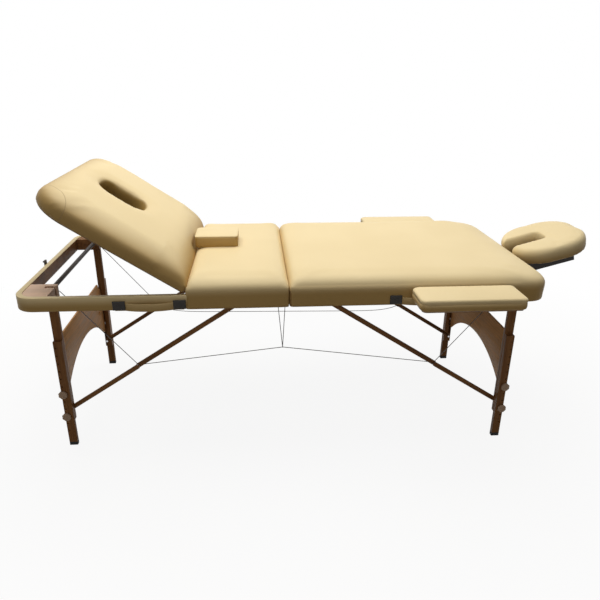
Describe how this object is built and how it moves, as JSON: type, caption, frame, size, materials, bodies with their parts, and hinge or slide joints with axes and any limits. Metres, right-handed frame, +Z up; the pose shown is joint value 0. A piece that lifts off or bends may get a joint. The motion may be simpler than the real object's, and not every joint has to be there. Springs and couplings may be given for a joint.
{
  "type": "folding massage table",
  "caption": "Portable wooden massage table with cream padded sections, a raised backrest with a breath hole, side armrests, a face cradle and folding cabled legs.",
  "frame": {"origin": "under the middle of the whole, on the floor", "axes": "+X along the table towards the face cradle, +Y across it away from the carry handles, +Z up"},
  "size_m": [2.171, 1.124, 1.0063],
  "materials": {
    "vinyl": "cream upholstery vinyl, soft satin",
    "wood": "stained hardwood, satin lacquer",
    "beech": "pale beech, bare satin",
    "board": "thin plywood board, brown",
    "steel": "bare steel, satin",
    "dark_steel": "dark painted steel",
    "black_plastic": "black moulded plastic",
    "tan_plastic": "tan moulded knob plastic",
    "rubber": "black rubber",
    "cable": "thin stranded steel cable"
  },
  "bodies": {
    "left_half": {"left_side_rails": "vinyl", "left_end_rail": "vinyl", "left_hinge_rail": "wood", "left_pivot_blocks": "beech", "centre_deck": "board", "centre_cushion": "vinyl", "left_handle_strap": "vinyl", "left_handle_caps": "black_plastic", "left_hinge_leaves": "steel", "latch_base": "dark_steel", "backrest_fixed_leaves": "steel", "left_cables": "cable"},
    "right_half": {"right_side_rails": "wood", "right_end_rail": "wood", "right_hinge_rail": "wood", "right_pivot_blocks": "beech", "main_deck": "board", "main_cushion": "vinyl", "right_handle_strap": "vinyl", "right_handle_caps": "black_plastic", "right_hinge_leaves": "steel", "latch_keeper": "dark_steel", "right_cables": "cable"},
    "latch_lever": {"latch_lever": "dark_steel"},
    "backrest": {"backrest_board": "board", "backrest_cushion": "vinyl", "backrest_moving_leaves": "steel"},
    "plug": {"plug_cushion": "vinyl"},
    "near_armrest": {"near_armrest_base": "board", "near_armrest_pad": "vinyl"},
    "far_armrest": {"far_armrest_base": "board", "far_armrest_pad": "vinyl"},
    "cradle_frame": {"cradle_frame": "black_plastic"},
    "cradle_head": {"cradle_platform": "black_plastic", "cradle_cushion": "vinyl"},
    "left_legs": {"left_upper_legs": "wood", "left_axle": "dark_steel", "left_apron": "wood"},
    "left_upper_struts": {"left_upper_struts": "wood"},
    "left_lower_struts": {"left_lower_struts": "wood"},
    "left_lower_leg_near": {"left_lower_leg_near": "wood"},
    "left_knob_near_lower": {"left_knob_near_lower": "tan_plastic"},
    "left_knob_near_upper": {"left_knob_near_upper": "tan_plastic"},
    "left_lower_leg_far": {"left_lower_leg_far": "wood"},
    "left_knob_far_lower": {"left_knob_far_lower": "tan_plastic"},
    "left_knob_far_upper": {"left_knob_far_upper": "tan_plastic"},
    "right_legs": {"right_upper_legs": "wood", "right_axle": "dark_steel", "right_apron": "wood"},
    "right_upper_struts": {"right_upper_struts": "wood"},
    "right_lower_struts": {"right_lower_struts": "wood"},
    "right_lower_leg_near": {"right_lower_leg_near": "wood"},
    "right_knob_near_lower": {"right_knob_near_lower": "tan_plastic"},
    "right_knob_near_upper": {"right_knob_near_upper": "tan_plastic"},
    "right_lower_leg_far": {"right_lower_leg_far": "wood"},
    "right_knob_far_lower": {"right_knob_far_lower": "tan_plastic"},
    "right_knob_far_upper": {"right_knob_far_upper": "tan_plastic"}
  },
  "joints": [
    {"name": "fold", "type": "hinge", "parent": "left_half", "child": "right_half", "pos_m": [-0.14852, 0, 0.592], "axis": [0, 1, 0], "range_deg": [0, 180], "deforming": ["left_cables", "right_cables"]},
    {"name": "backrest_tilt", "type": "hinge", "parent": "left_half", "child": "backrest", "pos_m": [-0.50352, 0, 0.6513], "axis": [0, 1, 0], "range_deg": [-33.5, 8.5]},
    {"name": "plug_lift", "type": "slide", "parent": "left_half", "child": "plug", "axis": [0, 0, 1], "range_m": [0, 0.15]},
    {"name": "latch_swing", "type": "hinge", "parent": "left_half", "child": "latch_lever", "pos_m": [-1.08002, -0.02, 0.616], "axis": [0, -1, 0], "range_deg": [0, 172]},
    {"name": "near_armrest_slide", "type": "slide", "parent": "right_half", "child": "near_armrest", "axis": [0, -1, 0], "range_m": [0, 0.06]},
    {"name": "far_armrest_slide", "type": "slide", "parent": "right_half", "child": "far_armrest", "axis": [0, 1, 0], "range_m": [0, 0.06]},
    {"name": "cradle_slide", "type": "slide", "parent": "right_half", "child": "cradle_frame", "axis": [1, 0, 0], "range_m": [0, 0.05]},
    {"name": "cradle_tilt", "type": "hinge", "parent": "cradle_frame", "child": "cradle_head", "pos_m": [0.80948, 0, 0.62], "axis": [0, -1, 0], "range_deg": [-35, 0]},
    {"name": "left_legs_fold", "type": "hinge", "parent": "left_half", "child": "left_legs", "pos_m": [-0.97852, 0, 0.632], "axis": [0, -1, 0], "range_deg": [0, 90]},
    {"name": "left_upper_struts_fold", "type": "hinge", "parent": "left_half", "child": "left_upper_struts", "pos_m": [-0.21452, 0, 0.6335], "axis": [0, 1, 0], "range_deg": [0, 32.7]},
    {"name": "left_lower_struts_fold", "type": "hinge", "parent": "left_legs", "child": "left_lower_struts", "pos_m": [-0.97702, 0, 0.145], "axis": [0, -1, 0], "range_deg": [0, 57.4]},
    {"name": "left_lower_leg_near_slide", "type": "slide", "parent": "left_legs", "child": "left_lower_leg_near", "axis": [0, 0, 1], "range_m": [0, 0.09]},
    {"name": "left_knob_near_lower_turn", "type": "hinge", "parent": "left_lower_leg_near", "child": "left_knob_near_lower", "pos_m": [-0.98652, -0.315, 0.13], "axis": [0, -1, 0], "continuous": true},
    {"name": "left_knob_near_upper_turn", "type": "hinge", "parent": "left_lower_leg_near", "child": "left_knob_near_upper", "pos_m": [-0.98652, -0.315, 0.226], "axis": [0, -1, 0], "continuous": true},
    {"name": "left_lower_leg_far_slide", "type": "slide", "parent": "left_legs", "child": "left_lower_leg_far", "axis": [0, 0, 1], "range_m": [0, 0.09]},
    {"name": "left_knob_far_lower_turn", "type": "hinge", "parent": "left_lower_leg_far", "child": "left_knob_far_lower", "pos_m": [-0.98652, 0.367, 0.13], "axis": [0, 1, 0], "continuous": true},
    {"name": "left_knob_far_upper_turn", "type": "hinge", "parent": "left_lower_leg_far", "child": "left_knob_far_upper", "pos_m": [-0.98652, 0.367, 0.226], "axis": [0, 1, 0], "continuous": true},
    {"name": "right_legs_fold", "type": "hinge", "parent": "right_half", "child": "right_legs", "pos_m": [0.68148, 0, 0.632], "axis": [0, 1, 0], "range_deg": [0, 90]},
    {"name": "right_upper_struts_fold", "type": "hinge", "parent": "right_half", "child": "right_upper_struts", "pos_m": [-0.08252, 0, 0.6335], "axis": [0, -1, 0], "range_deg": [0, 32.7]},
    {"name": "right_lower_struts_fold", "type": "hinge", "parent": "right_legs", "child": "right_lower_struts", "pos_m": [0.67998, 0, 0.145], "axis": [0, 1, 0], "range_deg": [0, 57.4]},
    {"name": "right_lower_leg_near_slide", "type": "slide", "parent": "right_legs", "child": "right_lower_leg_near", "axis": [0, 0, 1], "range_m": [0, 0.09]},
    {"name": "right_knob_near_lower_turn", "type": "hinge", "parent": "right_lower_leg_near", "child": "right_knob_near_lower", "pos_m": [0.68948, -0.367, 0.13], "axis": [0, -1, 0], "continuous": true},
    {"name": "right_knob_near_upper_turn", "type": "hinge", "parent": "right_lower_leg_near", "child": "right_knob_near_upper", "pos_m": [0.68948, -0.367, 0.226], "axis": [0, -1, 0], "continuous": true},
    {"name": "right_lower_leg_far_slide", "type": "slide", "parent": "right_legs", "child": "right_lower_leg_far", "axis": [0, 0, 1], "range_m": [0, 0.09]},
    {"name": "right_knob_far_lower_turn", "type": "hinge", "parent": "right_lower_leg_far", "child": "right_knob_far_lower", "pos_m": [0.68948, 0.315, 0.13], "axis": [0, 1, 0], "continuous": true},
    {"name": "right_knob_far_upper_turn", "type": "hinge", "parent": "right_lower_leg_far", "child": "right_knob_far_upper", "pos_m": [0.68948, 0.315, 0.226], "axis": [0, 1, 0], "continuous": true}
  ],
  "couplings": [
    {"joint": "left_legs_fold", "follows": "fold", "ratio": 0.5},
    {"joint": "left_upper_struts_fold", "follows": "fold", "ratio": 0.18137},
    {"joint": "left_lower_struts_fold", "follows": "fold", "ratio": 0.31863},
    {"joint": "right_legs_fold", "follows": "fold", "ratio": 0.5},
    {"joint": "right_upper_struts_fold", "follows": "fold", "ratio": 0.18137},
    {"joint": "right_lower_struts_fold", "follows": "fold", "ratio": 0.31863}
  ]
}
